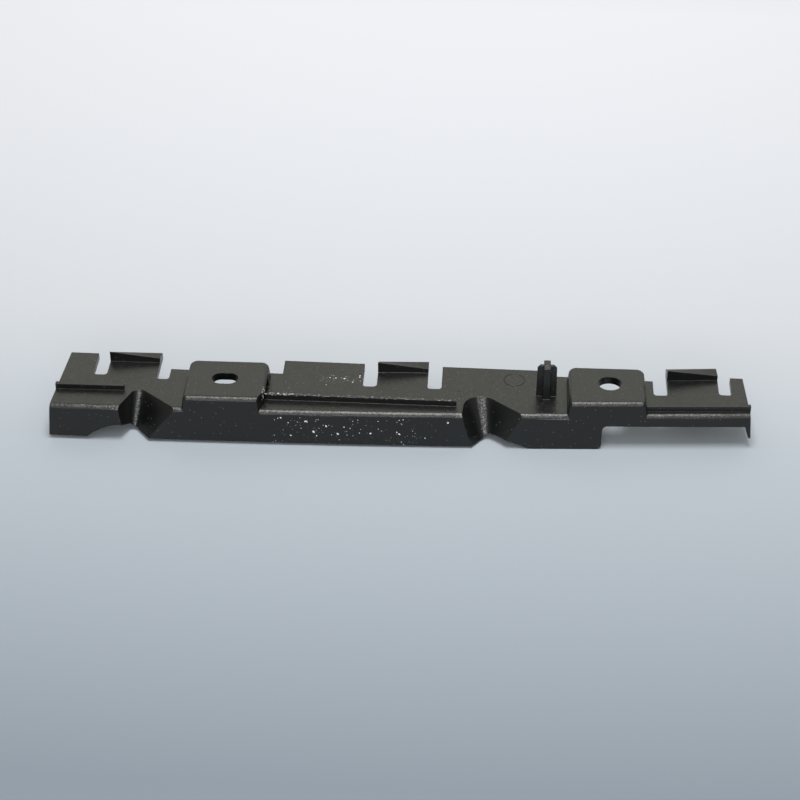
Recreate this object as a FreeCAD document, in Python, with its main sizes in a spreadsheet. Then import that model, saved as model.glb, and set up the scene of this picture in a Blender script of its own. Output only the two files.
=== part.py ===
import FreeCAD, Part
import os
import Sketcher

# Bumper mounting bracket: one injection-moulded piece of black plastic. A flat plate turns down
# along its bowed front edge into a flange. Two raised seats take the fasteners, three hooked tabs
# snap into the neighbouring panel, and a cross-shaped pin locates it.
#
# Frame, in millimetres: the origin is the centre of the round hole on the seating plane that both
# raised seats share. X runs along the length, Y from the flange to the tabs, Z up out of the seats.

os.makedirs("parts", exist_ok=True)
doc = FreeCAD.newDocument("bracket")

# Edges are picked by place and direction: how near in millimetres, and how well along an axis
NEAR = 0.01
ALONG = 0.9

# Sheet of named sizes
SIZES = [
    # Thicknesses, draft and edge radii
    ("wall", 3.0),
    ("seat_wall", 3.5),
    ("draft_angle", 4.0),
    ("fold_radius", 2.2),
    ("seat_draft", 8.0),
    ("seat_front_radius", 1.6),
    # Cutting and overlap: how far cuts run past the part, and how deep solids reach into each other
    ("run_out", 30.0),
    ("far_out", 60.0),
    ("overlap", 1.0),
    ("skim", 0.1),
    ("hair", 0.0001),
    # Outline on the seating plane
    ("left_rear_x", -234.7),
    ("left_front_x", -237.0),
    ("right_rear_x", 57.4),
    ("right_front_x", 58.7),
    ("rear_left_y", 20.3),
    ("rear_right_y", 15.0),
    ("front_left_y", -19.2),
    ("front_right_y", -11.5),
    ("bow_radius", 3750.0),
    ("block_depth", 23.5),
    ("seat_rise", 6.0),
    # Raised seats, their holes and the slit beside the first
    ("seat_1_left", -180.3),
    ("seat_1_right", -146.4),
    ("seat_1_rear", 9.1),
    ("seat_2_left", -17.2),
    ("seat_2_right", 14.8),
    ("seat_2_rear", 12.1),
    ("seat_corner_radius", 3.3),
    ("hole_diameter", 10.0),
    ("slot_x", -164.0),
    ("slot_y", -4.6),
    ("slot_length", 11.2),
    ("slot_width", 8.0),
    ("slit_left", -148.2),
    ("slit_right", -147.1),
    ("slit_front", -14.3),
    ("slit_rear", -1.2),
    ("slit_rim", 1.5),
    ("seat_1_slant_y", -12.4),
    ("seat_1_slant", 2.8),
    # Valleys pressed into the fold, on the plate and at the foot of the flange, angles from Y
    ("valley_foot_z", -24.6),
    ("valley_1_top_x", -202.2),
    ("valley_1_top_y", -3.9),
    ("valley_1_top_left", 21.0),
    ("valley_1_top_right", 49.5),
    ("valley_1_top_radius", 3.8),
    ("valley_1_foot_x", -204.2),
    ("valley_1_foot_y", -12.9),
    ("valley_1_foot_left", 14.3),
    ("valley_1_foot_right", 34.5),
    ("valley_1_foot_radius", 1.6),
    ("valley_2_top_x", -60.8),
    ("valley_2_top_y", 3.6),
    ("valley_2_top_left", 4.6),
    ("valley_2_top_right", 50.1),
    ("valley_2_top_radius", 7.5),
    ("valley_2_foot_x", -51.9),
    ("valley_2_foot_y", -13.7),
    ("valley_2_foot_left", 42.4),
    ("valley_2_foot_right", 46.0),
    ("valley_2_foot_radius", 2.6),
    # Foot of the flange
    ("foot_left_z", -20.9),
    ("arch_1_left_x", -222.2),
    ("arch_1_top_x", -207.6),
    ("arch_1_top_z", -14.7),
    ("arch_1_radius", 26.0),
    ("arch_1_fall_x", -203.6),
    ("arch_1_fall_z", -20.2),
    ("arch_1_right_x", -200.6),
    ("foot_middle_z", -21.0),
    ("foot_middle_end_z", -21.6),
    ("arch_2_left_x", -54.0),
    ("arch_2_rise_x", -52.0),
    ("arch_2_rise_z", -19.9),
    ("arch_2_fall_x", -39.0),
    ("arch_2_fall_z", -20.2),
    ("arch_2_radius", 14.8),
    ("arch_2_right_x", -33.6),
    ("foot_deep_z", -22.5),
    ("step_x", -3.0),
    ("step_lean", 0.2),
    ("foot_right_z", -11.3),
    ("foot_right_end_z", -11.8),
    ("step_corner_radius", 2.0),
    # Web that closes the right end
    ("end_web_z", -17.4),
    ("end_web_foot", 1.0),
    ("end_web_root", 2.3),
    ("end_web_run", 9.0),
    # Cut-backs in the rear edge
    ("cutback_1_left", -190.5),
    ("cutback_1_right", -140.7),
    ("cutback_1_left_y", 10.0),
    ("cutback_1_right_y", 8.9),
    ("cutback_2_left", -22.6),
    ("cutback_2_right", 20.0),
    ("cutback_2_left_y", 12.9),
    ("cutback_2_right_y", 11.3),
    # Hooked tabs and the gaps on both sides of each
    ("tab_width", 21.8),
    ("gap_width", 6.1),
    ("narrow_gap_width", 5.5),
    ("gap_corner_radius", 1.5),
    ("tab_1_x", -205.9),
    ("tab_1_foot", 14.5),
    ("tab_1_rear", 22.0),
    ("tab_1_skew", 0.2),
    ("tab_1_high", 5.1),
    ("tab_1_low", 2.3),
    ("tab_1_left_gap", 4.3),
    ("tab_1_right_gap", 2.2),
    ("tab_2_x", -88.7),
    ("tab_2_foot", 12.0),
    ("tab_2_rear", 20.5),
    ("tab_2_skew", 0.8),
    ("tab_2_high", 5.2),
    ("tab_2_low", 2.1),
    ("tab_2_left_gap", 1.2),
    ("tab_2_right_gap", 0.8),
    ("tab_3_x", 36.0),
    ("tab_3_foot", 12.0),
    ("tab_3_rear", 20.9),
    ("tab_3_skew", 1.7),
    ("tab_3_high", 5.2),
    ("tab_3_low", 2.2),
    ("tab_3_left_gap", 0.8),
    ("tab_3_right_gap", 2.4),
    # Stiffening ribs on the plate
    ("rib_1_left", -236.9),
    ("rib_1_right", -207.3),
    ("rib_1_left_y", -7.3),
    ("rib_1_right_y", -7.3),
    ("rib_1_thickness", 1.9),
    ("rib_1_height", 2.4),
    ("rib_2_left", -147.1),
    ("rib_2_right", -64.9),
    ("rib_2_left_y", -10.9),
    ("rib_2_right_y", -11.9),
    ("rib_2_thickness", 1.3),
    ("rib_2_height", 2.8),
    ("rib_3_left", 14.4),
    ("rib_3_right", 59.3),
    ("rib_3_left_y", -11.5),
    ("rib_3_right_y", -9.2),
    ("rib_3_thickness", 1.7),
    ("rib_3_height", 2.5),
    # Locating pin
    ("pin_x", -26.9),
    ("pin_y", -1.4),
    ("pin_height", 15.4),
    ("pin_wing_span", 8.6),
    ("pin_wing_thickness", 1.6),
    ("pin_blade_thickness", 3.2),
    ("pin_blade_depth", 6.8),
    ("pin_draft", 0.7),
    ("pin_tip", 1.3),
    ("pin_ridge", 1.2),
    ("pin_ridge_bevel", 0.5),
]
sheet = doc.addObject("Spreadsheet::Sheet", "dims")
for row, (name, size) in enumerate(SIZES, start=1):
    sheet.set("A%d" % row, name)
    sheet.set("B%d" % row, str(size))
    sheet.setAlias("B%d" % row, name)
doc.recompute()
sums = doc.addObject("Spreadsheet::Sheet", "sums")


def bound(text):
    """A formula of named sizes written so that another object can follow it."""
    words = text.split()
    functions = ("sin(", "cos(", "tan(")
    return " ".join("dims." + w if w[0].isalpha() and w not in functions else w for w in words)


def sized(text):
    """Number that a formula of named sizes gives now, worked out on a sheet of its own."""
    sums.set("A1", "=" + bound(text))
    sums.recompute()
    return float(sums.get("A1"))


def origin_plane(body, role):
    """Origin plane of a body, found by its role."""
    return [plane for plane in body.Origin.OriginFeatures if plane.Role == role][0]


def new_sketch(body, label, role, offset):
    """Empty sketch on an origin plane of the body, moved along the plane's normal by a formula."""
    sketch = body.newObject("Sketcher::SketchObject", label)
    sketch.AttachmentSupport = (origin_plane(body, role), [""])
    sketch.MapMode = "FlatFace"
    place = FreeCAD.Placement(FreeCAD.Vector(0, 0, sized(offset)), FreeCAD.Rotation())
    sketch.AttachmentOffset = place
    sketch.setExpression("AttachmentOffset.Base.z", bound(offset))
    return sketch


def follow(sketch, rule, text):
    """Adds a constraint whose value follows a formula."""
    number = sketch.addConstraint(rule)
    sketch.setExpression("Constraints[%d]" % number, bound(text))


def add_loop(sketch, corners):
    """Closed loop. Each corner is two formulas and None for a straight side to the next corner, or
    a formula for the radius of an arc to it and 1 or -1 for its turn, anticlockwise or clockwise."""
    points = [FreeCAD.Vector(sized(corner[0]), sized(corner[1]), 0) for corner in corners]
    sides = []
    for index, corner in enumerate(corners):
        start = points[index]
        end = points[(index + 1) % len(points)]
        if corner[2] is None:
            sides.append((sketch.addGeometry(Part.LineSegment(start, end), False), 1, 2))
            continue
        radius = sized(corner[2])
        half = (end - start) * 0.5
        across = FreeCAD.Vector(-half.y, half.x, 0).normalize() * corner[3]
        centre = start + half + across * (radius ** 2 - half.Length ** 2) ** 0.5
        side = sketch.addGeometry(Part.Arc(start, centre - across * radius, end), False)
        sides.append((side, 1, 2) if corner[3] > 0 else (side, 2, 1))
        follow(sketch, Sketcher.Constraint("Radius", side, radius), corner[2])
    for index, (side, first, last) in enumerate(sides):
        following, following_first, following_last = sides[(index + 1) % len(sides)]
        sketch.addConstraint(Sketcher.Constraint("Coincident", side, last, following, following_first))
        x, y = points[index].x, points[index].y
        follow(sketch, Sketcher.Constraint("DistanceX", -1, 1, side, first, x), corners[index][0])
        follow(sketch, Sketcher.Constraint("DistanceY", -1, 1, side, first, y), corners[index][1])


def pad(body, label, sketch, length, down=False, taper=None):
    """Pad of a sketch, its length and draft following formulas."""
    feature = body.newObject("PartDesign::Pad", label)
    feature.Profile = sketch
    feature.Reversed = down
    feature.setExpression("Length", bound(length))
    if taper is not None:
        feature.setExpression("TaperAngle", bound(taper))
    return feature


def pocket(body, label, sketch, length, up=False, both=False):
    """Pocket of a sketch, its depth following a formula."""
    feature = body.newObject("PartDesign::Pocket", label)
    feature.Profile = sketch
    feature.Reversed = up
    feature.Midplane = both
    feature.setExpression("Length", bound(length))
    return feature


def loft(body, label, kind, first, last):
    """Ruled loft between two sketches, added or taken away."""
    feature = body.newObject("PartDesign::" + kind, label)
    feature.Profile = first
    feature.Sections = [last]
    feature.Ruled = True
    return feature


def four_sides(left, right, front, rear):
    """Corners of an upright rectangle."""
    return [(left, front, None), (right, front, None), (right, rear, None), (left, rear, None)]


def valley_sides(name, level, wall):
    """Seen from above, a V with a rounded bottom that is open towards the front. For the inside of
    the shell the whole V moves outwards by the wall."""
    size = {}
    for word in ("x", "y", "left", "right", "radius"):
        size[word] = "%s_%s_%s" % (name, level, word)
    size["wall"] = wall
    size["half"] = "( {left} + {right} ) / 2".format(**size)
    size["tilt"] = "( {left} - {right} ) / 2".format(**size)
    size["radius"] = "( {radius} + {wall} )".format(**size)
    size["x"] = "( {x} + {wall} * sin( {tilt} ) / sin( {half} ) )".format(**size)
    size["y"] = "( {y} + {wall} * cos( {tilt} ) / sin( {half} ) )".format(**size)
    size["run"] = "( {radius} / tan( {half} ) )".format(**size)
    return [
        ("{x} + {run} * sin( {right} )".format(**size), "{y} - {run} * cos( {right} )".format(**size),
         size["radius"], 1),
        ("{x} - {run} * sin( {left} )".format(**size), "{y} - {run} * cos( {left} )".format(**size), None),
        ("{x} - ( {y} + run_out ) * tan( {left} )".format(**size), "0 - run_out", None),
        ("{x} + ( {y} + run_out ) * tan( {right} )".format(**size), "0 - run_out", None),
    ]


def block(body, label, level, inset, left_reach, right_inset, rear_reach):
    """Drafted block under the bowed outline, its top at a level below the seating plane and its
    front moved inwards."""
    sketch = new_sketch(body, label + "_outline", "XY_Plane", "0 - " + level)
    run_out = [("left_front_x - " + left_reach, "front_left_y + " + inset, None)] if body is hollow else []
    add_loop(sketch, run_out + [
        ("left_front_x", "front_left_y + " + inset, "bow_radius", 1),
        ("right_front_x - " + right_inset, "front_right_y + " + inset, None),
        ("right_rear_x - " + right_inset, "rear_right_y + " + rear_reach, None),
        ("left_rear_x - " + left_reach, "rear_left_y + " + rear_reach, None),
    ])
    pad(body, label, sketch, "block_depth", down=True, taper="draft_angle")


def clear_beside_seats(body, label, level, depth, inset):
    """Lowers the ceiling of the hollow everywhere but under the two seats."""
    sketch = new_sketch(body, label + "_outline", "XY_Plane", "0 - " + level)
    add_loop(sketch, four_sides("left_front_x - far_out", "right_front_x + far_out",
                                "front_left_y - far_out - overlap", "rear_left_y + far_out + overlap"))
    for seat in ("seat_1", "seat_2"):
        add_loop(sketch, four_sides(seat + "_left + " + inset, seat + "_right - " + inset,
                                    "front_left_y - far_out", "rear_left_y + far_out"))
    pocket(body, label, sketch, depth)


def cut_valleys(body, wall):
    """Presses the two valleys into the block, or leaves room for them in the hollow."""
    for name in ("valley_1", "valley_2"):
        top = new_sketch(body, body.Name + "_" + name + "_top", "XY_Plane", "0 - seat_rise")
        add_loop(top, valley_sides(name, "top", wall))
        foot = new_sketch(body, body.Name + "_" + name + "_foot", "XY_Plane", "valley_foot_z")
        add_loop(foot, valley_sides(name, "foot", wall))
        loft(body, body.Name + "_" + name, "SubtractiveLoft", top, foot)


def dress_edges(body, kind, label, name, size, chosen):
    """Fillet or chamfer on the edges of the body that the test picks by their middle point."""
    doc.recompute()
    picked = []
    for number, edge in enumerate(body.Shape.Edges, start=1):
        if chosen(edge, edge.valueAt((edge.FirstParameter + edge.LastParameter) / 2)):
            picked.append("Edge%d" % number)
    before = body.Tip
    feature = body.newObject("PartDesign::" + kind, label)
    feature.Base = (before, picked)
    feature.setExpression(name, bound(size))


# Hollow side of the shell, one wall inside
hollow = doc.addObject("PartDesign::Body", "hollow")
hollow_inset = "wall - seat_wall * tan( draft_angle )"
block(hollow, "hollow_block", "seat_wall", hollow_inset, "run_out", "end_web_root", "run_out")
clear_beside_seats(hollow, "hollow_ceiling", "seat_wall", "seat_rise + wall - seat_wall", "wall")
cut_valleys(hollow, "wall")


def along_front(level):
    """Test for the long front edges of a block at one height."""
    def test(edge, middle):
        front = middle.y < sized("front_right_y") and abs(edge.tangentAt(edge.FirstParameter).x) > ALONG
        return front and abs(middle.z - sized(level)) < NEAR
    return test


def combine(body, label, tool, kind):
    """Fuses another body into this one, cuts it out or keeps what both share."""
    feature = body.newObject("PartDesign::Boolean", label)
    feature.setObjects([tool])
    feature.Type = kind
    return feature


# Drafted walls of the two seats, running out in front of the flange
seat_walls = doc.addObject("PartDesign::Body", "seat_walls")
sketch = new_sketch(seat_walls, "seat_walls_outline", "XY_Plane", "0")
for seat in ("seat_1", "seat_2"):
    left = seat + "_left"
    right = seat + "_right"
    rear = seat + "_rear"
    corner = "seat_corner_radius"
    slant = [("seat_1_right - seat_1_slant", "front_left_y - run_out", None),
             ("seat_1_right - seat_1_slant", "front_left_y", None),
             ("seat_1_right", "seat_1_slant_y", None)]
    square = [(right, "front_left_y - run_out", None)]
    add_loop(sketch, [(left, "front_left_y - run_out", None)] + (slant if seat == "seat_1" else square) + [
        (right, rear + " - " + corner, corner, 1),
        (right + " - " + corner, rear, None),
        (left + " + " + corner, rear, corner, 1),
        (left, rear + " - " + corner, None),
    ])
pad(seat_walls, "seat_walls_depth", sketch, "seat_rise + fold_radius + overlap", down=True,
    taper="seat_draft")

# Seats as what the walls and the drafted block share, the front edge of the block rounded first
seats = doc.addObject("PartDesign::Body", "seats")
block(seats, "seats_block", "0", "0", "0", "0", "0")
dress_edges(seats, "Fillet", "seats_fold_rounding", "Radius", "fold_radius", along_front("0"))
combine(seats, "seats_shape", seat_walls, "Common")


def upright_front(edge, middle):
    """Upright corners between the front of a seat and its side walls, but for the slanted one."""
    start, end = (vertex.Point for vertex in edge.Vertexes)
    upright = abs(start.z - end.z) > sized("seat_rise / 2") and middle.y < sized("front_right_y")
    return upright and abs(middle.x - sized("seat_1_right")) > sized("seat_1_slant + overlap")


dress_edges(seats, "Fillet", "seat_front_corners", "Radius", "seat_front_radius", upright_front)
# Plate and flange from the same block, lowered to the plate and rounded along the fold
bracket = doc.addObject("PartDesign::Body", "bracket")
block(bracket, "outer_block", "0", "0", "0", "0", "0")
sketch = new_sketch(bracket, "plate_level_outline", "XY_Plane", "0")
add_loop(sketch, four_sides("left_front_x - run_out", "right_front_x + run_out",
                            "front_left_y - run_out", "rear_left_y + run_out"))
pocket(bracket, "plate_level", sketch, "seat_rise")
dress_edges(bracket, "Fillet", "fold_rounding", "Radius", "fold_radius", along_front("0 - seat_rise"))


combine(bracket, "seats_on_plate", seats, "Fuse")
cut_valleys(bracket, "0")
combine(bracket, "hollow_cut", hollow, "Cut")

# Foot of the flange: two arches under the valleys, the deep middle and the shallow right end
sketch = new_sketch(bracket, "foot_outline", "XZ_Plane", "0")
add_loop(sketch, [
    ("left_front_x - run_out", "foot_left_z", None),
    ("arch_1_left_x", "foot_left_z", "arch_1_radius", -1),
    ("arch_1_top_x", "arch_1_top_z", None),
    ("arch_1_fall_x", "arch_1_fall_z", None),
    ("arch_1_right_x", "foot_middle_z", None),
    ("arch_2_left_x", "foot_middle_end_z", None),
    ("arch_2_rise_x", "arch_2_rise_z", "arch_2_radius", -1),
    ("arch_2_fall_x", "arch_2_fall_z", None),
    ("arch_2_right_x", "foot_deep_z", None),
    ("step_x - step_lean - step_corner_radius", "foot_deep_z", "step_corner_radius", 1),
    ("step_x - step_lean", "foot_deep_z + step_corner_radius", None),
    ("step_x", "foot_right_z - step_corner_radius", "step_corner_radius", -1),
    ("step_x + step_corner_radius", "foot_right_z", None),
    ("right_front_x - foot_right_end_z * tan( draft_angle ) - end_web_root", "foot_right_end_z", None),
    ("right_front_x - end_web_z * tan( draft_angle ) - end_web_foot", "end_web_z", None),
    ("right_front_x + run_out", "end_web_z", None),
    ("right_front_x + run_out", "0 - run_out", None),
    ("left_front_x - run_out", "0 - run_out", None),
])
pocket(bracket, "foot", sketch, "far_out * 2", both=True)

# Right end web: full depth behind the flange, then rising to the rear edge of the plate
sketch = new_sketch(bracket, "end_web_outline", "YZ_Plane", "right_front_x - end_web_root - wall")
add_loop(sketch, [
    ("front_right_y + end_web_run", "0 - run_out", None),
    ("rear_right_y + run_out", "0 - run_out", None),
    ("rear_right_y + run_out", "0 - seat_rise - wall", None),
    ("rear_right_y", "0 - seat_rise - wall", None),
    ("front_right_y + end_web_run", "end_web_z", None),
])
pocket(bracket, "end_web_rise", sketch, "run_out", up=True)

# Rear edge: cut-backs beside the seats, then the gaps that free the tabs
sketch = new_sketch(bracket, "cutback_outline", "XY_Plane", "0 - seat_rise + skim")
for name in ("cutback_1", "cutback_2"):
    add_loop(sketch, [
        (name + "_left", name + "_left_y", None),
        (name + "_right", name + "_right_y", None),
        (name + "_right", "rear_left_y + run_out", None),
        (name + "_left", "rear_left_y + run_out", None),
    ])
pocket(bracket, "cutbacks", sketch, "wall + overlap")
TABS = ("tab_1", "tab_2", "tab_3")
WIDTHS = (("gap_width", "narrow_gap_width"), ("gap_width", "gap_width"), ("gap_width", "narrow_gap_width"))
sketch = new_sketch(bracket, "gap_outline", "XY_Plane", "0 - seat_rise + skim")
for name, (left_width, right_width) in zip(TABS, WIDTHS):
    sides = (
        (name + "_x - tab_width / 2 - " + left_width, name + "_x - tab_width / 2", name + "_left_gap"),
        (name + "_x + tab_width / 2", name + "_x + tab_width / 2 + " + right_width, name + "_right_gap"),
    )
    for left, right, deep in sides:
        corner = "gap_corner_radius"
        add_loop(sketch, [
            (left, deep + " + " + corner, corner, 1),
            (left + " + " + corner, deep, None),
            (right + " - " + corner, deep, corner, 1),
            (right, deep + " + " + corner, None),
            (right, "rear_left_y + run_out", None),
            (left, "rear_left_y + run_out", None),
        ])
pocket(bracket, "gaps", sketch, "wall + overlap")

# Tabs reach past the rear edge; each carries a hook that is high at its left end and low at its right
for name in TABS:
    left = name + "_x - tab_width / 2"
    right = name + "_x + tab_width / 2"
    sketch = new_sketch(bracket, name + "_outline", "XY_Plane", "0 - seat_rise")
    add_loop(sketch, [
        (left, name + "_foot - wall", None),
        (right, name + "_foot - wall", None),
        (right, name + "_rear + " + name + "_skew", None),
        (left, name + "_rear", None),
    ])
    pad(bracket, name, sketch, "wall", down=True)
    ends = []
    hook_ends = (("high", left, name + "_high", "0"), ("low", right, name + "_low", name + "_skew"))
    for end, place, high, skew in hook_ends:
        profile = new_sketch(bracket, name + "_hook_" + end, "YZ_Plane", place)
        add_loop(profile, [
            (name + "_foot + " + skew, "0 - seat_rise - overlap", None),
            (name + "_rear + " + skew, "0 - seat_rise - overlap", None),
            (name + "_rear + " + skew, "0 - seat_rise", None),
            (name + "_foot + " + skew, "0 - seat_rise + " + high, None),
        ])
        ends.append(profile)
    loft(bracket, name + "_hook", "AdditiveLoft", ends[0], ends[1])

# Slit beside the first seat: down through the plate, and a recess under the rim of the seat
sketch = new_sketch(bracket, "slit_outline", "XY_Plane", "0 - seat_rise + skim")
add_loop(sketch, four_sides("slit_left", "slit_right", "slit_front", "slit_rear"))
pocket(bracket, "slit", sketch, "wall + overlap")
sketch = new_sketch(bracket, "slit_recess_outline", "XY_Plane", "0 - slit_rim")
add_loop(sketch, four_sides("slit_left", "seat_1_right + overlap * 2", "slit_front", "slit_rear"))
pocket(bracket, "slit_recess", sketch, "seat_rise - slit_rim")

# Ribs on the plate, between the fold and the gaps
for name in ("rib_1", "rib_2", "rib_3"):
    sketch = new_sketch(bracket, name + "_outline", "XY_Plane", "0 - seat_rise - overlap")
    add_loop(sketch, [
        (name + "_left", name + "_left_y", None),
        (name + "_right", name + "_right_y", None),
        (name + "_right", name + "_right_y + " + name + "_thickness", None),
        (name + "_left", name + "_left_y + " + name + "_thickness", None),
    ])
    pad(bracket, name, sketch, name + "_height + overlap")

# Locating pin: two wings and a taller blade across them, drafted, with the corners of the tip cut
PIN_PARTS = (
    ("pin_wings", "pin_wing_span", "pin_wing_thickness", "pin_height"),
    ("pin_blade", "pin_blade_thickness", "pin_blade_depth", "pin_height + pin_ridge"),
)
for name, across, along, height in PIN_PARTS:
    sketch = new_sketch(bracket, name + "_outline", "XY_Plane", "0 - seat_rise")
    add_loop(sketch, four_sides("pin_x - " + across + " / 2", "pin_x + " + across + " / 2",
                                "pin_y - " + along + " / 2", "pin_y + " + along + " / 2"))
    pad(bracket, name, sketch, height, taper="0 - pin_draft")


def pin_corner(edge, middle):
    """Short top edges at the ends of the wings and of the blade."""
    top = middle.z > sized("pin_height - seat_rise") - NEAR and edge.Length > sized("overlap")
    wing = abs(middle.x - sized("pin_x")) > sized("pin_wing_span / 2 - pin_ridge_bevel")
    arm = abs(middle.y - sized("pin_y")) > sized("pin_blade_depth / 2 - pin_ridge_bevel")
    return top and (wing or arm)


def pin_ridge_side(edge, middle):
    """Long top edges on both sides of the blade's ridge."""
    top = middle.z > sized("pin_height + pin_ridge - seat_rise") - NEAR
    return top and abs(edge.tangentAt(edge.FirstParameter).y) > ALONG


dress_edges(bracket, "Chamfer", "pin_tip_chamfer", "Size", "pin_tip", pin_corner)
dress_edges(bracket, "Chamfer", "pin_ridge_chamfer", "Size", "pin_ridge_bevel", pin_ridge_side)

# Fastener holes through the seats
sketch = new_sketch(bracket, "round_hole_outline", "XY_Plane", "0")
circle = Part.Circle(FreeCAD.Vector(), FreeCAD.Vector(0, 0, 1), sized("hole_diameter / 2"))
rim = sketch.addGeometry(circle, False)
sketch.addConstraint(Sketcher.Constraint("Coincident", rim, 3, -1, 1))
follow(sketch, Sketcher.Constraint("Diameter", rim, sized("hole_diameter")), "hole_diameter")
pocket(bracket, "round_hole", sketch, "seat_wall + overlap")
sketch = new_sketch(bracket, "slot_hole_outline", "XY_Plane", "0")
half = "slot_width / 2"
straight = "( slot_length - slot_width ) / 2"
add_loop(sketch, [
    ("slot_x - " + straight, "slot_y - " + half, None),
    ("slot_x + " + straight, "slot_y - " + half, "slot_width / 2 + hair", 1),
    ("slot_x + " + straight, "slot_y + " + half, None),
    ("slot_x - " + straight, "slot_y + " + half, "slot_width / 2 + hair", 1),
])
pocket(bracket, "slot_hole", sketch, "seat_wall + overlap")

doc.recompute()

doc.recompute()
for thing in doc.Objects:
    if "Invalid" in thing.State or "Error" in thing.State:
        raise RuntimeError("%s did not compute" % thing.Label)
    if hasattr(thing, "Shape") and (thing.Shape.isNull() or not thing.Shape.isValid()):
        raise RuntimeError("%s has no valid shape" % thing.Label)
bracket.Shape.exportStep("parts/bracket.step")
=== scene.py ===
import math

import bmesh
import bpy
import numpy as np
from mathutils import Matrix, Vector


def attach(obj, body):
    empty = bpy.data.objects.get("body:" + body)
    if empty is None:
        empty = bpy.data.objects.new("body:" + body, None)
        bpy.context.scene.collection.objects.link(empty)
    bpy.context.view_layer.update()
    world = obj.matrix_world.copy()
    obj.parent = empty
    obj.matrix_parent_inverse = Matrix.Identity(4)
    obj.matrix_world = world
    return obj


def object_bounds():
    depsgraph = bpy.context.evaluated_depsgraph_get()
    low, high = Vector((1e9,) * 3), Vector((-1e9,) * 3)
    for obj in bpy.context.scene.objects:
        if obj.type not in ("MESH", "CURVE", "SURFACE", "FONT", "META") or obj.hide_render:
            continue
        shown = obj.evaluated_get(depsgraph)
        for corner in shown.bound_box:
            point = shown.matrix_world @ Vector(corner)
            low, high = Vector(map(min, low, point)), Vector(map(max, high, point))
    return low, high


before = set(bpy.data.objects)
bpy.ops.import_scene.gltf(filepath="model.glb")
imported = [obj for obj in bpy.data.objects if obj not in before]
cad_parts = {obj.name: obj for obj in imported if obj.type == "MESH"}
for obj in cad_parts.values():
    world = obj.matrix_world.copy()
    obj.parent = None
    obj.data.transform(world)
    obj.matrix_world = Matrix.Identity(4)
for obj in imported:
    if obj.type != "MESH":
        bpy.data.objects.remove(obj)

bl_info = {
    "name": "Bumper mounting bracket",
    "version": (1, 0, 0),
    "blender": (4, 5, 0),
    "location": "View3D > Sidebar > Bracket",
    "description": "Finishes the moulded black bracket and sets up its studio",
    "category": "Object",
}

CAD_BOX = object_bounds()
NODE = "bracket"
BODY = "root"
PLASTIC = "moulded_black_plastic"
MM = 0.001

# Heights of the plate's two sides
PLATE_TOP = -0.0060
PLATE_UNDERSIDE = -0.0090

# Middles of the ejector marks on the flat underside of the plate, x and y, in mm
EJECTOR_MARKS = ((-229.0, 8.0), (-206.0, 4.0), (-183.0, 0.0), (-130.0, 6.0), (-118.0, -8.0),
                 (-88.0, 4.0), (-52.0, 8.0), (-36.0, -6.0), (36.0, 4.0), (52.0, -4.0))

# Points along a ring, along the short line and over the arch of a raised line
RING_POINTS = 48
LINE_POINTS = 12
ARCH_POINTS = 7

# Larger dust flecks: x and z on the flange, x and y on the plate, and the radius, all in mm
FLANGE_FLECKS = (
    (-128.6, -10.4, 0.50), (-127.9, -10.5, 0.40), (-119.8, -12.6, 0.40), (-125.0, -15.6, 0.55),
    (-123.8, -17.5, 0.40), (-114.9, -16.3, 0.45), (-101.0, -15.8, 0.50), (-89.8, -15.1, 0.35),
    (-68.2, -10.0, 0.50), (-138.9, -8.9, 0.35), (-140.0, -9.3, 0.30), (-134.8, -17.6, 0.35),
    (-135.9, -11.2, 0.35), (-105.4, -15.9, 0.30), (-87.0, -8.9, 0.35), (-88.8, -9.1, 0.35),
    (-77.8, -17.8, 0.30), (-97.6, -9.9, 0.25), (-112.4, -12.7, 0.30), (-109.6, -13.5, 0.30),
    (-88.8, -15.9, 0.35),
)
PLATE_FLECKS = (
    (-113.8, 6.5, 0.50), (-110.0, 4.1, 0.35), (-107.2, 9.0, 0.40), (-107.4, 8.0, 0.30),
    (-120.1, 7.0, 0.30), (-117.5, 6.8, 0.35), (-121.1, 1.3, 0.25),
)

# Width in metres of the lumps that make a fleck's outline ragged, and the share of a fleck's and a
# speck's radius that is full dust
FLECK_LUMP = 0.0011
FLECK_CORE = 0.6
SPECK_CORE = 0.5

# Zones of the finish, in metres: heights along Z, fronts and backs along Y, and spans along the
# axis in their name. The rib's dust thins over RIB_DUST_THINS_X, its streaks have RIB_STREAKS
# lumps to a metre along X, Y and Z, and the painted highlight on the fold stops at its own height,
# under the seats' tops.
FLANGE_TOP = -0.0084
FLANGE_BACK = -0.0100
FLANGE_DUST_X = (-0.143, -0.084)
PLATE_SLACK = 0.0002
PLATE_FRONT = -0.0090
PLATE_DUST_X = (-0.122, -0.107)
PLATE_DUST_Y = (0.0045, 0.0085)
RIB_TOP = -0.0036
RIB_BACK = -0.0085
RIB_X = (-0.1470, -0.0650)
RIB_DUST_THINS_X = (-0.1360, -0.1260)
RIB_STREAKS = (700.0, 2200.0, 1500.0)
VALLEYS_X = ((-0.210, -0.197), (-0.064, -0.048))
# Height above which no painted highlight is put on the fold
HIGHLIGHT_TOP = -0.0002
HOOK_FRONT = 0.0118
HOOK_FOOT = -0.0057

# How much each kind of dust covers, and how strong the painted highlight on the fold and on the
# valley floors is, from 0 to 1; the rib's left end has RIB_END_DUST more
FLANGE_DUST = 0.75
PLATE_DUST = 0.5
RIB_DUST = 0.25
RIB_END_DUST = 0.70
FINE_DUST = 0.10
# The next two are the painted highlight on the fold and on the valley floors
FOLD_HIGHLIGHT = 0.13
VALLEY_HIGHLIGHT = 0.23
FILM = 0.02

# What is added to the roughness by the slow ripple, by full dust or full painted highlight, and on the
# tops of the hooks
RIPPLE_ROUGHNESS = 0.12
DUST_AND_HIGHLIGHT_ROUGHNESS = 0.3
HOOK_ROUGHNESS = 0.3
PLASTIC_IOR = 1.53

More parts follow.
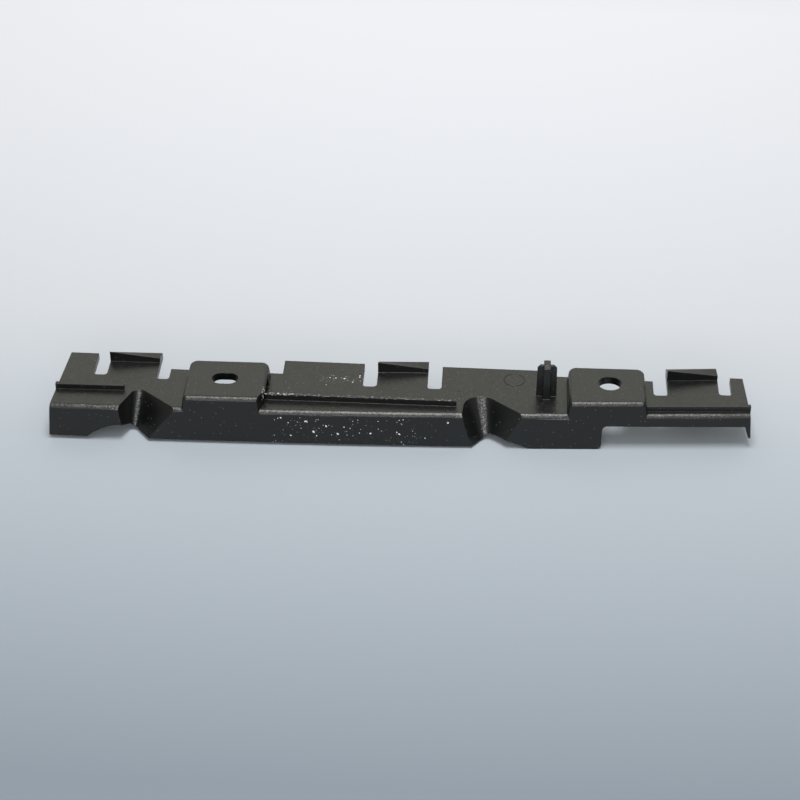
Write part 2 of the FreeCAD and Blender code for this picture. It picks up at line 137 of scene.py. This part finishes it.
# The floor: half its side, its gap under the bracket, and its change of shade along Y
FLOOR_HALF = 3.0
FLOOR_GAP = 0.0001
SHADE_NEAR_Y, SHADE_FAR_Y = -0.22, 0.42
SHADE_MIDDLE, SHADE_BEHIND = 0.32, 0.48

# Colours of the light, the places of the soft boxes along X, and the camera's sensor in mm
ROOM_WHITE = (1.0, 0.995, 0.90, 1.0)
COOL_WHITE = (0.98, 0.99, 1.0)
WARM_WHITE = (1.0, 0.995, 0.985)
FRONT_BOX_X = -0.089
TOP_BOX_X = -0.07
SENSOR_WIDTH = 36.0


class BracketFinish(bpy.types.PropertyGroup):
    """Colours and surface of the moulded plastic."""

    plastic: bpy.props.FloatVectorProperty(
        name="Plastic", description="Colour of the plastic", subtype="COLOR",
        size=3, min=0.0, max=1.0, default=(0.0032, 0.0032, 0.0029))
    plastic_cool: bpy.props.FloatVectorProperty(
        name="Cool shade", description="Colour of the cooler patches", subtype="COLOR",
        size=3, min=0.0, max=1.0, default=(0.0022, 0.0026, 0.0030))
    # This colour is used for the dust and scuffs, and also for the painted highlight on the fold and
    # the valley floors
    dust: bpy.props.FloatVectorProperty(
        name="Dust", description="Colour of the dust and scuffs", subtype="COLOR",
        size=3, min=0.0, max=1.0, default=(0.86, 0.86, 0.83))
    roughness: bpy.props.FloatProperty(
        name="Roughness", description="Roughness of the moulded surface", subtype="FACTOR",
        min=0.0, max=1.0, default=0.33)
    grain_size: bpy.props.FloatProperty(
        name="Grain", description="Width of one grain of the moulded surface", unit="LENGTH",
        min=0.0001, max=0.003, default=0.0006)
    grain_depth: bpy.props.FloatProperty(
        name="Grain depth", description="Height of the grain", unit="LENGTH",
        min=0.0, max=0.0005, default=0.00008)
    edge_radius: bpy.props.FloatProperty(
        name="Edge radius", description="Rounding of the moulded edges", unit="LENGTH",
        min=0.0, max=0.001, default=0.0004)


class BracketMarks(bpy.types.PropertyGroup):
    """Fine raised lines that the mould's inserts and ejector pins leave."""

    bead_width: bpy.props.FloatProperty(
        name="Line width", description="Width of a raised line", unit="LENGTH", min=0.0,
        default=0.00032)
    bead_height: bpy.props.FloatProperty(
        name="Line height", description="Height of a raised line", unit="LENGTH", min=0.0,
        default=0.00010)
    ring_place: bpy.props.FloatVectorProperty(
        name="Ring", description="Middle of the ring on the plate", subtype="TRANSLATION",
        unit="LENGTH", size=3, default=(-0.0405, 0.0092, PLATE_TOP))
    ring_radius: bpy.props.FloatProperty(
        name="Ring radius", description="Radius of the ring on the plate", unit="LENGTH", min=0.0,
        default=0.0045)
    line_start: bpy.props.FloatVectorProperty(
        name="Line start", description="Left end of the short line", subtype="TRANSLATION",
        unit="LENGTH", size=3, default=(-0.0646, -0.0004, PLATE_TOP))
    line_end: bpy.props.FloatVectorProperty(
        name="Line end", description="Right end of the short line", subtype="TRANSLATION",
        unit="LENGTH", size=3, default=(-0.0577, -0.0002, PLATE_TOP))
    ejector_radius: bpy.props.FloatProperty(
        name="Ejector mark", description="Radius of the rings on the underside", unit="LENGTH",
        min=0.0, default=0.0025)


class BracketStage(bpy.types.PropertyGroup):
    """Camera, lamps and floor."""

    look_at: bpy.props.FloatVectorProperty(
        name="Look at", description="Point in the middle of the picture", subtype="TRANSLATION",
        unit="LENGTH", size=3, default=(-0.0890, -0.0083, -0.0060))
    distance: bpy.props.FloatProperty(
        name="Distance", description="From that point to the camera", unit="LENGTH",
        min=0.1, default=0.9)
    azimuth: bpy.props.FloatProperty(
        name="Azimuth", description="Turn of the camera round the bracket", subtype="ANGLE",
        default=math.radians(3.0))
    elevation: bpy.props.FloatProperty(
        name="Elevation", description="Height of the camera above the horizon", subtype="ANGLE",
        default=math.radians(35.0))
    lens: bpy.props.FloatProperty(
        name="Lens", description="Focal length in mm on a 36 mm sensor", min=10.0, default=95.175)
    floor_near: bpy.props.FloatVectorProperty(
        name="Floor, near", description="Colour of the floor before the bracket", subtype="COLOR",
        size=3, min=0.0, max=1.0, default=(0.214, 0.247, 0.292))
    floor_middle: bpy.props.FloatVectorProperty(
        name="Floor, middle", description="Colour of the floor at the bracket", subtype="COLOR",
        size=3, min=0.0, max=1.0, default=(0.418, 0.461, 0.515))
    floor_behind: bpy.props.FloatVectorProperty(
        name="Floor, behind", description="Colour of the floor close behind the bracket",
        subtype="COLOR", size=3, min=0.0, max=1.0, default=(0.568, 0.592, 0.639))
    floor_far: bpy.props.FloatVectorProperty(
        name="Floor, far", description="Colour of the floor far behind the bracket",
        subtype="COLOR", size=3, min=0.0, max=1.0, default=(0.855, 0.870, 0.950))
    low_lamp: bpy.props.FloatProperty(
        name="Low lamp", description="Power of the soft box below the camera", unit="POWER",
        min=0.0, default=3.5)
    fill_lamp: bpy.props.FloatProperty(
        name="Fill lamp", description="Power of the soft box above the camera", unit="POWER",
        min=0.0, default=2.0)
    top_lamp: bpy.props.FloatProperty(
        name="Top lamp", description="Power of the soft box over the bracket", unit="POWER",
        min=0.0, default=8.0)
    room_front: bpy.props.FloatProperty(
        name="Room, front", description="Level of the light from the camera's side", min=0.0,
        default=0.32)
    room_back: bpy.props.FloatProperty(
        name="Room, back", description="Level of the light from behind the bracket", min=0.0,
        default=1.08)


class Wire:
    """A socket that takes part in sums. An operator adds its node and gives the result's socket."""

    def __init__(self, shader, socket):
        self.shader = shader
        self.socket = socket

    def _math(self, operation, *values):
        return self.shader.node("ShaderNodeMath", {"operation": operation}, values)

    def __add__(self, other):
        return self._math("ADD", self, other)

    def __radd__(self, other):
        return self._math("ADD", other, self)

    def __sub__(self, other):
        return self._math("SUBTRACT", self, other)

    def __rsub__(self, other):
        return self._math("SUBTRACT", other, self)

    def __mul__(self, other):
        return self._math("MULTIPLY", self, other)

    def __rmul__(self, other):
        return self._math("MULTIPLY", other, self)

    def __gt__(self, other):
        return self._math("GREATER_THAN", self, other)

    def __lt__(self, other):
        return self._math("LESS_THAN", self, other)

    def __abs__(self):
        return self._math("ABSOLUTE", self)

    def most(self, *others):
        """The largest of this and the others."""
        found = self
        for other in others:
            found = found._math("MAXIMUM", found, other)
        return found

    def limit(self, low, high):
        """0 below low, 1 above high, and a smooth step between them."""
        return self.shader.node(
            "ShaderNodeMapRange", {"interpolation_type": "SMOOTHSTEP"},
            {"Value": self, "From Min": low, "From Max": high})

    def inside(self, span, fade):
        """1 between the span's two ends, going down to 0 over the fade outside each end."""
        low, high = span
        return self.limit(low - fade, low) * (1.0 - self.limit(high, high + fade))

    def beside(self, output):
        """Another output of the same node."""
        return Wire(self.shader, self.socket.node.outputs[output])


class Shader:
    """The node tree of one material or of the world."""

    def __init__(self, owner):
        owner.use_nodes = True
        self.owner = owner
        self.tree = owner.node_tree
        self.tree.nodes.clear()

    def node(self, kind, settings=None, values=(), output=0):
        """Adds a node: settings first, then the values or links of its sockets."""
        made = self.tree.nodes.new(kind)
        for name, value in (settings or {}).items():
            if name == "stops":
                self._stops(made.color_ramp, value)
            else:
                setattr(made, name, value)
        pairs = values.items() if isinstance(values, dict) else enumerate(values)
        for key, value in pairs:
            if isinstance(value, Wire):
                self.tree.links.new(value.socket, made.inputs[key])
            else:
                made.inputs[key].default_value = value
        return Wire(self, made.outputs[output])

    @staticmethod
    def _stops(ramp, stops):
        """Gives a ramp its stops, each a place from 0 to 1 and a colour of three numbers."""
        while len(ramp.elements) < len(stops):
            ramp.elements.new(1.0)
        for element, (place, colour) in zip(ramp.elements, stops):
            element.position = place
            element.color = (*colour, 1.0)

    def mix(self, share, first, second):
        """The first colour where share is 0 and the second where it is 1."""
        made = self.tree.nodes.new("ShaderNodeMix")
        made.data_type = "RGBA"
        for key, value in (("Factor", share), ("A", first), ("B", second)):
            socket = next(s for s in made.inputs if s.name == key and s.enabled)
            if isinstance(value, Wire):
                self.tree.links.new(value.socket, socket)
            else:
                socket.default_value = (*value, 1.0)
        return Wire(self, next(s for s in made.outputs if s.enabled))

    def parts(self, wire):
        """The three numbers of a vector."""
        cut = self.tree.nodes.new("ShaderNodeSeparateXYZ")
        self.tree.links.new(wire.socket, cut.inputs[0])
        return [Wire(self, end) for end in cut.outputs]

    def surface(self, wire, kind="ShaderNodeOutputMaterial"):
        """Makes a shader the result of the tree."""
        end = self.tree.nodes.new(kind)
        self.tree.links.new(wire.socket, end.inputs["Surface"])


class Surface(Shader):
    """The node tree of a surface, with each point's place, the way it faces, and patterns on it.
    facing_z is 1 on what faces up and 0 on an upright side; facing_y is -1 on an upright front."""

    def __init__(self, owner):
        super().__init__(owner)
        self.place = self.node("ShaderNodeTexCoord", output="Object")
        self.x, self.y, self.z = self.parts(self.place)
        self.facing_x, self.facing_y, self.facing_z = self.parts(self.place.beside("Normal"))

    def noise(self, size, detail=2.0, rough=0.5, shift=0.0):
        """Soft lumps of the given width, around 0.5; each shift gives another pattern."""
        return self.node("ShaderNodeTexNoise", {"noise_dimensions": "4D"},
                         {"Vector": self.place, "W": shift, "Scale": 1.0 / size,
                          "Detail": detail, "Roughness": rough})

    def streaks(self, stretch):
        """Lumps pulled out of round: the stretch is how many go into a metre along X, Y and Z."""
        pulled = self.node("ShaderNodeVectorMath", {"operation": "MULTIPLY"},
                           {0: self.place, 1: stretch})
        return self.node("ShaderNodeTexNoise", {"noise_dimensions": "3D"},
                         {"Vector": pulled, "Scale": 1.0, "Detail": 2.0})

    def specks(self, size, share, radius):
        """Round specks at the points of a pattern of cells of the given size. Share is how many of
        the points have one, and the radius is given in cells."""
        near = self.node("ShaderNodeTexVoronoi", {"feature": "F1"},
                         {"Vector": self.place, "Scale": 1.0 / size, "Randomness": 1.0})
        lot = self.parts(near.beside("Color"))[0]
        return (1.0 - near.limit(radius * SPECK_CORE, radius)) * (lot < share)

    def flecks(self, across, along, spots):
        """Ragged dots of dust on a flat side, each at two places in mm and with a radius in mm."""
        ragged = (self.noise(FLECK_LUMP, detail=1.0, shift=5.0) - 0.5) * FLECK_LUMP
        flat = self.node("ShaderNodeCombineXYZ", {}, {0: across + ragged, 1: along - ragged})
        dots = []
        for first, second, radius in spots:
            away = self.node("ShaderNodeVectorMath", {"operation": "DISTANCE"},
                             {0: flat, 1: (first * MM, second * MM, 0.0)}, output="Value")
            dots.append(1.0 - away.limit(radius * MM * FLECK_CORE, radius * MM))
        return dots[0].most(*dots[1:])


def dust_mask(look):
    """White dust: flecks and fine specks on the flange and near the plate's rear edge, streaks
    along the top of the long rib, and a few faint specks everywhere."""
    on_flange = (look.z < FLANGE_TOP) * (look.y < FLANGE_BACK)
    on_plate = (abs(look.z - PLATE_TOP) < PLATE_SLACK) * (look.y > PLATE_FRONT)
    flange_flecks = look.flecks(look.x, look.z, FLANGE_FLECKS) * on_flange
    plate_flecks = look.flecks(look.x, look.y, PLATE_FLECKS) * on_plate

    clouds = look.noise(size=0.005, shift=7.0).limit(0.47, 0.60)
    flange_patch = look.x.inside(FLANGE_DUST_X, fade=0.004) * clouds * on_flange
    flange_specks = look.specks(size=0.0011, share=0.55, radius=0.24) * flange_patch * FLANGE_DUST
    plate_patch = look.x.inside(PLATE_DUST_X, fade=0.003) * on_plate
    plate_patch = plate_patch * look.y.inside(PLATE_DUST_Y, fade=0.001)
    plate_specks = look.specks(size=0.0009, share=0.45, radius=0.28) * plate_patch * PLATE_DUST

    on_rib = (look.z > RIB_TOP) * (look.y < RIB_BACK) * look.x.inside(RIB_X, fade=0.0004)
    rib_end = 1.0 - look.x.limit(*RIB_DUST_THINS_X)
    rib_streaks = look.streaks(RIB_STREAKS).limit(0.56, 0.66) * on_rib
    rib_streaks = rib_streaks * (rib_end * RIB_END_DUST + RIB_DUST)
    fine_specks = look.specks(size=0.0016, share=0.32, radius=0.20) * FINE_DUST
    return flange_flecks.most(plate_flecks, flange_specks, plate_specks, rib_streaks, fine_specks)


def painted_highlight_mask(look):
    """Painted highlight: pale points along the rounded fold, where facing_z falls from 0.99 to 0.5,
    and on the floors of the two valleys."""
    leans_forward = 1.0 - look.facing_y.limit(-0.35, -0.15)
    square_on = 1.0 - abs(look.facing_x).limit(0.10, 0.30)
    on_fold = look.facing_z.limit(0.50, 0.72) * (1.0 - look.facing_z.limit(0.93, 0.99)) * FOLD_HIGHLIGHT
    left_valley, right_valley = (look.x.inside(span, fade=0.002) for span in VALLEYS_X)
    on_valley = left_valley.most(right_valley) * look.facing_z.limit(0.15, 0.45) * VALLEY_HIGHLIGHT
    points = look.noise(size=0.0007, rough=0.7, shift=11.0).limit(0.42, 0.68)
    return points * leans_forward * square_on * (look.z < HIGHLIGHT_TOP) * on_fold.most(on_valley)


def film_mask(look):
    """A thin film of dust on what faces up."""
    lumps = look.noise(size=0.0008, detail=3.0, rough=0.6, shift=13.0).limit(0.40, 0.75)
    return lumps * look.facing_z.limit(0.70, 0.95) * FILM


def plastic_material(finish):
    """Satin black plastic: fine grain, soft edges, a slow drift of tone, dust and scuffs, and a
    painted highlight on the rounded fold and the valley floors.
    """
    look = Surface(bpy.data.materials.new(PLASTIC))
    drift = look.noise(size=0.035, detail=3.0, rough=0.6).limit(0.35, 0.65)
    shade = look.mix(drift, tuple(finish.plastic), tuple(finish.plastic_cool))
    # Dust and scuffs, and a painted highlight on the fold and the valley floors, all in the dust
    # colour
    dust_and_highlight = dust_mask(look).most(painted_highlight_mask(look), film_mask(look))
    colour = look.mix(dust_and_highlight, shade, tuple(finish.dust))

    on_hook = (look.y > HOOK_FRONT) * (look.z > HOOK_FOOT) * (look.facing_z > 0.5)
    ripple = (look.noise(size=0.006, shift=3.0) - 0.5) * RIPPLE_ROUGHNESS
    rough = ripple + finish.roughness + dust_and_highlight * DUST_AND_HIGHLIGHT_ROUGHNESS + on_hook * HOOK_ROUGHNESS

    soft_edges = look.node("ShaderNodeBevel", {"samples": 6}, {"Radius": finish.edge_radius})
    grain = look.noise(finish.grain_size, detail=1.0)
    bump = look.node("ShaderNodeBump", {},
                     {"Strength": 1.0, "Distance": finish.grain_depth, "Height": grain,
                      "Normal": soft_edges})
    look.surface(look.node("ShaderNodeBsdfPrincipled", {},
                           {"Base Color": colour, "Roughness": rough, "Normal": bump,
                            "IOR": PLASTIC_IOR}))
    return look.owner


def floor_material(stage):
    """Pale floor: it takes the bracket's shadow, goes from pale grey behind to a mid grey in front,
    and lets a view from below through."""
    look = Shader(bpy.data.materials.new("pale_floor"))
    depth = look.parts(look.node("ShaderNodeTexCoord", output="Object"))[1]
    share = look.node("ShaderNodeMapRange", {},
                      {"Value": depth, "From Min": SHADE_NEAR_Y, "From Max": SHADE_FAR_Y})
    stops = ((0.0, stage.floor_near), (SHADE_MIDDLE, stage.floor_middle),
             (SHADE_BEHIND, stage.floor_behind), (1.0, stage.floor_far))
    colour = look.node("ShaderNodeValToRGB", {"stops": stops}, {"Fac": share})
    paint = look.node("ShaderNodeBsdfDiffuse", {}, {"Color": colour})
    clear = look.node("ShaderNodeBsdfTransparent")
    underside = look.node("ShaderNodeNewGeometry", output="Backfacing")
    look.surface(look.node("ShaderNodeMixShader", {}, (underside, paint, clear)))
    return look.owner


class BRACKET_OT_moulding(bpy.types.Operator):
    """Gives the moulding its satin black plastic"""

    bl_idname = "bracket.moulding"
    bl_label = "Moulding"

    def execute(self, context):
        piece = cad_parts[NODE]
        piece.data.materials.clear()
        piece.data.materials.append(plastic_material(context.scene.bracket_finish))
        return {"FINISHED"}


def bead(name, path, across, up, marks, closed):
    """Raised line: an arch, half an ellipse of the marks' width and height, carried along the path.
    Point (i, j) is path[i] + across[i] * width / 2 * cos(t) + up * height * sin(t), t from 0 to pi."""
    turn = np.linspace(0.0, np.pi, ARCH_POINTS)
    side = np.cos(turn)[None, :, None] * (marks.bead_width / 2.0)
    rise = np.sin(turn)[None, :, None] * marks.bead_height
    grid = path[:, None, :] + across[:, None, :] * side + np.asarray(up)[None, None, :] * rise
    rows, columns = grid.shape[:2]
    index = np.arange(rows * columns).reshape(rows, columns)
    ahead = np.roll(index, -1, axis=0) if closed else index[1:]
    here = index if closed else index[:-1]
    quads = np.stack([here[:, :-1], here[:, 1:], ahead[:, 1:], ahead[:, :-1]], axis=-1)
    under = np.stack([here[:, -1], here[:, 0], ahead[:, 0], ahead[:, -1]], axis=-1)
    faces = [*quads.reshape(-1, 4).tolist(), *under.tolist()]
    if not closed:
        faces += [index[0].tolist(), index[-1][::-1].tolist()]
    mesh = bpy.data.meshes.new(name)
    mesh.from_pydata(grid.reshape(-1, 3).tolist(), [], faces)
    shape = bmesh.new()
    shape.from_mesh(mesh)
    bmesh.ops.recalc_face_normals(shape, faces=shape.faces)
    shape.to_mesh(mesh)
    shape.free()
    mesh.shade_smooth()
    return mesh


def ring(name, middle, radius, up, marks):
    """A raised line along a circle: point i is middle + radius * (cos a, sin a, 0), a from 0 to
    a full turn."""
    turn = np.linspace(0.0, 2.0 * np.pi, RING_POINTS, endpoint=False)
    spoke = np.stack([np.cos(turn), np.sin(turn), 0.0 * turn], axis=-1)
    path = np.asarray(middle)[None, :] + spoke * radius
    return bead(name, path, spoke, up, marks, closed=True)


def straight_line(name, start, end, up, marks):
    """A raised line along a straight path: point i is start + (end - start) * s, s from 0 to 1."""
    start, end = np.array(start), np.array(end)
    path = np.linspace(start, end, LINE_POINTS)
    along = (end - start) / np.linalg.norm(end - start)
    across = np.tile(np.cross(up, along), (LINE_POINTS, 1))
    return bead(name, path, across, up, marks, closed=False)


def show(scene, mesh, material):
    """A finished piece, named as its mesh, that rides on the bracket and takes its finish."""
    mesh.materials.append(material)
    piece = bpy.data.objects.new(mesh.name, mesh)
    scene.collection.objects.link(piece)
    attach(piece, BODY)


class BRACKET_OT_marks(bpy.types.Operator):
    """Adds the ring and the short line on the plate and the ejector marks on the underside"""

    bl_idname = "bracket.marks"
    bl_label = "Mould marks"

    def execute(self, context):
        scene = context.scene
        marks = scene.bracket_marks
        material = bpy.data.materials[PLASTIC]
        up, down = (0.0, 0.0, 1.0), (0.0, 0.0, -1.0)
        show(scene, ring("insert_ring", marks.ring_place, marks.ring_radius, up, marks), material)
        show(scene, straight_line("insert_line", marks.line_start, marks.line_end, up, marks),
             material)
        for number, (x, y) in enumerate(EJECTOR_MARKS, start=1):
            middle = (x * MM, y * MM, PLATE_UNDERSIDE)
            show(scene, ring("ejector_mark_%d" % number, middle, marks.ejector_radius, down, marks),
                 material)
        return {"FINISHED"}


def aim(scene, name, data, at, direction):
    """Puts a lamp or a camera at a point, so that it looks along the direction."""
    holder = bpy.data.objects.new(name, data)
    holder.location = at
    holder.rotation_euler = direction.to_track_quat("-Z", "Y").to_euler()
    scene.collection.objects.link(holder)
    return holder


def soft_box(scene, name, power, size, at, colour):
    """A rectangular lamp of the given width and depth, which shines from a point towards the
    nearest point of the X axis."""
    lamp = bpy.data.lights.new(name, "AREA")
    lamp.shape = "RECTANGLE"
    lamp.size, lamp.size_y = size
    lamp.energy = power
    lamp.color = colour
    aim(scene, name, lamp, at, Vector((at[0], 0.0, 0.0)) - Vector(at))


class BRACKET_OT_studio(bpy.types.Operator):
    """Adds the floor, the lamps and the camera"""

    bl_idname = "bracket.studio"
    bl_label = "Studio"

    def execute(self, context):
        scene = context.scene
        stage = scene.bracket_stage
        self.add_floor(scene, stage)
        self.add_room(scene, stage)
        self.add_lamps(scene, stage)
        self.add_camera(scene, stage)
        scene.view_settings.view_transform = "Standard"
        return {"FINISHED"}

    @staticmethod
    def add_floor(scene, stage):
        """A flat square a little under the bracket's lowest edge."""
        level = CAD_BOX[0].z - FLOOR_GAP
        corners = [(-FLOOR_HALF, -FLOOR_HALF, level), (FLOOR_HALF, -FLOOR_HALF, level),
                   (FLOOR_HALF, FLOOR_HALF, level), (-FLOOR_HALF, FLOOR_HALF, level)]
        mesh = bpy.data.meshes.new("floor")
        mesh.from_pydata(corners, [], [(0, 1, 2, 3)])
        floor = bpy.data.objects.new("floor", mesh)
        scene.collection.objects.link(floor)
        mesh.materials.append(floor_material(stage))

    @staticmethod
    def add_room(scene, stage):
        """Even light from all round, stronger from behind the bracket and above the horizon."""
        world = bpy.data.worlds.new("room")
        scene.world = world
        look = Shader(world)
        rearward, upward = look.parts(look.node("ShaderNodeTexCoord", output="Generated"))[1:]
        behind = rearward.limit(0.1, 0.8) * upward.limit(0.0, 0.5)
        level = behind * (stage.room_back - stage.room_front) + stage.room_front
        glow = look.node("ShaderNodeBackground", {}, {"Color": ROOM_WHITE, "Strength": level})
        look.surface(glow, "ShaderNodeOutputWorld")

    @staticmethod
    def add_lamps(scene, stage):
        """Two soft boxes before the bracket and one over it."""
        soft_box(scene, "soft_box_low", stage.low_lamp, size=(0.8, 0.25),
                 at=(FRONT_BOX_X, -1.14, 0.37), colour=COOL_WHITE)
        soft_box(scene, "soft_box_fill", stage.fill_lamp, size=(0.8, 0.45),
                 at=(FRONT_BOX_X, -0.80, 0.89), colour=COOL_WHITE)
        soft_box(scene, "soft_box_top", stage.top_lamp, size=(0.4, 0.5),
                 at=(TOP_BOX_X, -0.14, 1.0), colour=WARM_WHITE)

    @staticmethod
    def add_camera(scene, stage):
        """Looks at the given point from the given side, height and distance."""
        camera = bpy.data.cameras.new("camera")
        camera.lens = stage.lens
        camera.sensor_width = SENSOR_WIDTH
        turn, rise = stage.azimuth, stage.elevation
        back = Vector((math.sin(turn) * math.cos(rise), -math.cos(turn) * math.cos(rise),
                       math.sin(rise)))
        at = Vector(stage.look_at) + back * stage.distance
        scene.camera = aim(scene, "camera", camera, at, -back)


class VIEW3D_PT_bracket(bpy.types.Panel):
    """Lists the bracket's steps and settings."""

    bl_label = "Bumper mounting bracket"
    bl_idname = "VIEW3D_PT_bracket"
    bl_space_type = "VIEW_3D"
    bl_region_type = "UI"
    bl_category = "Bracket"

    def draw(self, context):
        layout = self.layout
        for step in STEPS:
            layout.operator(step.bl_idname)
        scene = context.scene
        for group in (scene.bracket_finish, scene.bracket_marks, scene.bracket_stage):
            for name in group.__annotations__:
                layout.prop(group, name)


STEPS = (BRACKET_OT_moulding, BRACKET_OT_marks, BRACKET_OT_studio)
CLASSES = (BracketFinish, BracketMarks, BracketStage, *STEPS, VIEW3D_PT_bracket)


def register():
    for cls in CLASSES:
        bpy.utils.register_class(cls)
    bpy.types.Scene.bracket_finish = bpy.props.PointerProperty(type=BracketFinish)
    bpy.types.Scene.bracket_marks = bpy.props.PointerProperty(type=BracketMarks)
    bpy.types.Scene.bracket_stage = bpy.props.PointerProperty(type=BracketStage)


def unregister():
    del bpy.types.Scene.bracket_stage
    del bpy.types.Scene.bracket_marks
    del bpy.types.Scene.bracket_finish
    for cls in reversed(CLASSES):
        bpy.utils.unregister_class(cls)


def main():
    register()
    bpy.ops.bracket.moulding()
    bpy.ops.bracket.marks()
    bpy.ops.bracket.studio()


if __name__ == "__main__":
    main()
